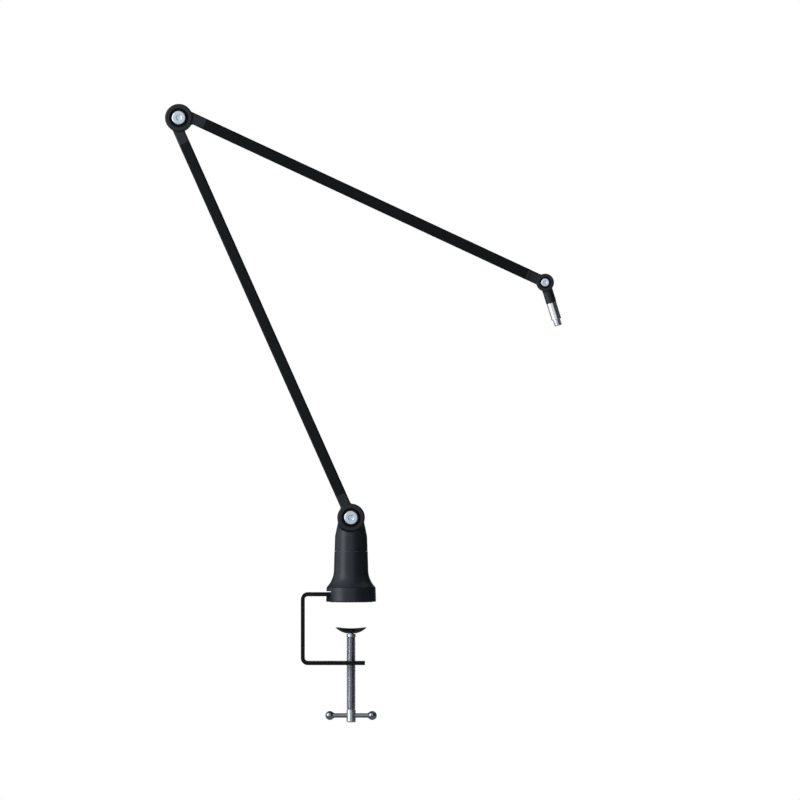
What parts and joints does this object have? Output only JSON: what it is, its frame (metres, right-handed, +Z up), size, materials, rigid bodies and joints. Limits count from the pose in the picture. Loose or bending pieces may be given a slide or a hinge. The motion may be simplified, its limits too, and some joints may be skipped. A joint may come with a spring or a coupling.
{
  "type": "clamp-on articulated desk arm",
  "caption": "Black desk arm on a screw clamp: flared swivel base, flat tube sections on bolted friction knuckles, and a tilting threaded spigot at its free end.",
  "frame": {"origin": "centre of the base's underside, on the swivel axis, where the desk top meets the foot pad", "axes": "+Z up along the swivel axis; the arms stand in the XZ plane with the free end towards +X and the clamp frame's back towards -X; the bolt heads face -Y"},
  "size_m": [0.4368, 0.055, 0.6799],
  "materials": {
    "cast_black": "satin black powder coat",
    "tube_black": "black anodised, satin",
    "frame_black": "semi-matt black paint",
    "pad_black": "black oxide with oil",
    "zinc": "satin zinc plate",
    "chrome": "bright chrome plate",
    "steel": "turned steel",
    "rubber": "soft black rubber",
    "bush": "natural acetal",
    "friction": "woven friction fibre"
  },
  "bodies": {
    "clamp_base": {"base_cup": "cast_black", "base_cone": "cast_black", "clamp_frame": "frame_black", "cone_screws": "steel", "foot_pad": "rubber", "lower_swivel_bush": "bush", "upper_swivel_bush": "bush"},
    "swivel": {"swivel_head": "cast_black", "swivel_post": "steel", "thrust_washer": "bush", "post_washer": "steel", "post_disc_spring": "steel", "post_nut": "steel", "post_grub_screw": "steel", "base_bush": "bush"},
    "lower_arm": {"lower_fork": "cast_black", "lower_tube": "tube_black", "lower_tongue": "cast_black", "lower_tube_screws": "steel", "base_bolt": "zinc", "base_nut": "zinc", "base_disc_springs": "steel", "base_friction_discs": "friction", "elbow_bush": "bush"},
    "upper_arm": {"upper_fork": "cast_black", "upper_tube": "tube_black", "tip_fork": "cast_black", "upper_tube_screws": "steel", "elbow_bolt": "zinc", "elbow_nut": "zinc", "elbow_disc_springs": "steel", "elbow_friction_discs": "friction", "tip_bolt": "zinc", "tip_nut": "zinc", "tip_disc_springs": "steel", "tip_friction_discs": "friction"},
    "spigot_head": {"spigot_holder": "cast_black", "spigot": "chrome", "tip_bush": "bush"},
    "pad_carrier": {"pad_ring": "steel"},
    "pad": {"pressure_pad": "pad_black"},
    "spindle": {"clamp_spindle": "chrome"},
    "handle": {"handle_rod": "chrome", "handle_balls": "chrome"}
  },
  "joints": [
    {"name": "base_swivel", "type": "hinge", "parent": "clamp_base", "child": "swivel", "pos_m": [0, 0, 0.056], "axis": [0, 0, 1], "continuous": true},
    {"name": "lower_arm_pitch", "type": "hinge", "parent": "swivel", "child": "lower_arm", "pos_m": [0, 0, 0.093], "axis": [0, -1, 0], "range_deg": [-98.3, 51.7]},
    {"name": "elbow_pitch", "type": "hinge", "parent": "lower_arm", "child": "upper_arm", "pos_m": [-0.18927, 0, 0.53248], "axis": [0, -1, 0], "range_deg": [-27.5, 137.5]},
    {"name": "tip_pitch", "type": "hinge", "parent": "upper_arm", "child": "spigot_head", "pos_m": [0.21343, 0, 0.3515], "axis": [0, -1, 0], "range_deg": [-41.3, 138.7]},
    {"name": "clamp_travel", "type": "slide", "parent": "clamp_base", "child": "pad_carrier", "axis": [0, 0, 1], "range_m": [-0.0255, 0.02625]},
    {"name": "spindle_turn", "type": "hinge", "parent": "pad_carrier", "child": "spindle", "pos_m": [0, 0, -0.08], "axis": [0, 0, 1], "range_deg": [-6120, 6300]},
    {"name": "pad_tilt", "type": "hinge", "parent": "pad_carrier", "child": "pad", "pos_m": [0, 0, -0.03355], "axis": [0, -1, 0], "range_deg": [-4, 4]},
    {"name": "handle_slide", "type": "slide", "parent": "spindle", "child": "handle", "axis": [1, 0, 0], "range_m": [-0.013, 0.013]}
  ],
  "couplings": [
    {"joint": "clamp_travel", "follows": "spindle_turn", "m_per_rad": 0.00023873}
  ]
}
